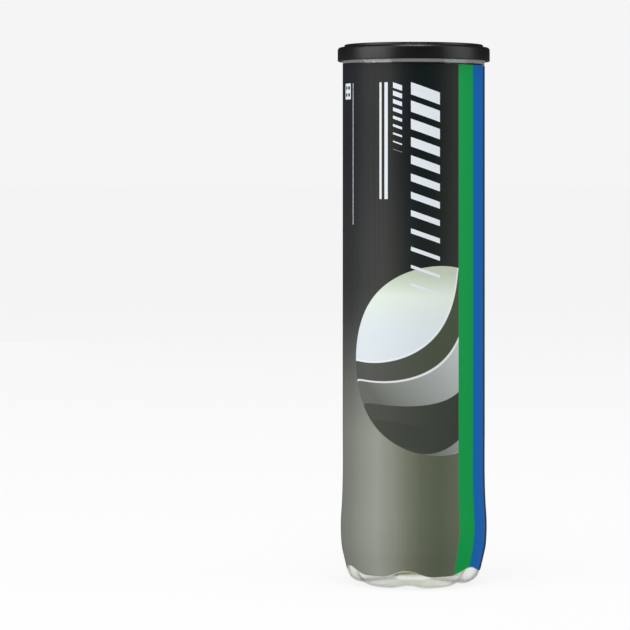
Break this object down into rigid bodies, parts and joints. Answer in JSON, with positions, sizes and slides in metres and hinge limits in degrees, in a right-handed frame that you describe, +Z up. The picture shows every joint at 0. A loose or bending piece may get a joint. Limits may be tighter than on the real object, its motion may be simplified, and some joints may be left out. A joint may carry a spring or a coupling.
{
  "type": "tennis ball can",
  "caption": "Clear plastic pressurised can for tennis balls with a printed sleeve, ring-pull metal end and push-on cap.",
  "frame": {"origin": "centre of the circle the feet stand on, on the floor", "axes": "+Z up the can's axis to the cap, -Y towards the front of the printed sleeve"},
  "size_m": [0.0786, 0.0786, 0.277],
  "materials": {
    "clear_plastic": "gloss",
    "printed_film": "satin",
    "end_metal": "satin",
    "tab_metal": "satin",
    "sealing_compound": "matte",
    "cap_plastic": "matte",
    "core_rubber": "matte",
    "ball_felt": "matte",
    "seam_cement": "matte"
  },
  "bodies": {
    "can": {"can_body": "clear_plastic", "sleeve": "printed_film", "end_ring": "end_metal", "seam_compound": "sealing_compound"},
    "cap": {"overcap": "cap_plastic"},
    "panel": {"tear_panel": "end_metal", "tab_tongue": "tab_metal"},
    "tab": {"pull_tab": "tab_metal"},
    "ball_1": {"ball_1_core_a": "core_rubber", "ball_1_core_b": "core_rubber", "ball_1_felt_a": "ball_felt", "ball_1_felt_b": "ball_felt", "ball_1_seam": "seam_cement"},
    "ball_2": {"ball_2_core_a": "core_rubber", "ball_2_core_b": "core_rubber", "ball_2_felt_a": "ball_felt", "ball_2_felt_b": "ball_felt", "ball_2_seam": "seam_cement"},
    "ball_3": {"ball_3_core_a": "core_rubber", "ball_3_core_b": "core_rubber", "ball_3_felt_a": "ball_felt", "ball_3_felt_b": "ball_felt", "ball_3_seam": "seam_cement"},
    "ball_4": {"ball_4_core_a": "core_rubber", "ball_4_core_b": "core_rubber", "ball_4_felt_a": "ball_felt", "ball_4_felt_b": "ball_felt", "ball_4_seam": "seam_cement"}
  },
  "joints": [
    {"name": "cap_lift", "type": "slide", "parent": "can", "child": "cap", "axis": [0, 0, 1], "range_m": [0, 0.34]},
    {"name": "panel_lift", "type": "slide", "parent": "can", "child": "panel", "axis": [0, 0, 1], "range_m": [0, 0.28]},
    {"name": "tab_lift", "type": "hinge", "parent": "panel", "child": "tab", "pos_m": [0, -0.0319, 0.2706], "axis": [1, 0, 0], "range_deg": [0, 90]},
    {"name": "ball_1_lift", "type": "slide", "parent": "can", "child": "ball_1", "axis": [0, 0, 1], "range_m": [0, 0.265]},
    {"name": "ball_2_lift", "type": "slide", "parent": "can", "child": "ball_2", "axis": [0, 0, 1], "range_m": [0, 0.268]},
    {"name": "ball_3_lift", "type": "slide", "parent": "can", "child": "ball_3", "axis": [0, 0, 1], "range_m": [0, 0.271]},
    {"name": "ball_4_lift", "type": "slide", "parent": "can", "child": "ball_4", "axis": [0, 0, 1], "range_m": [0, 0.274]}
  ],
  "couplings": [
    {"joint": "panel_lift", "follows": "cap_lift", "ratio": 0.8235},
    {"joint": "tab_lift", "follows": "cap_lift", "rad_per_m": 4.619},
    {"joint": "ball_1_lift", "follows": "cap_lift", "ratio": 0.7794},
    {"joint": "ball_2_lift", "follows": "cap_lift", "ratio": 0.7882},
    {"joint": "ball_3_lift", "follows": "cap_lift", "ratio": 0.797},
    {"joint": "ball_4_lift", "follows": "cap_lift", "ratio": 0.8058}
  ]
}
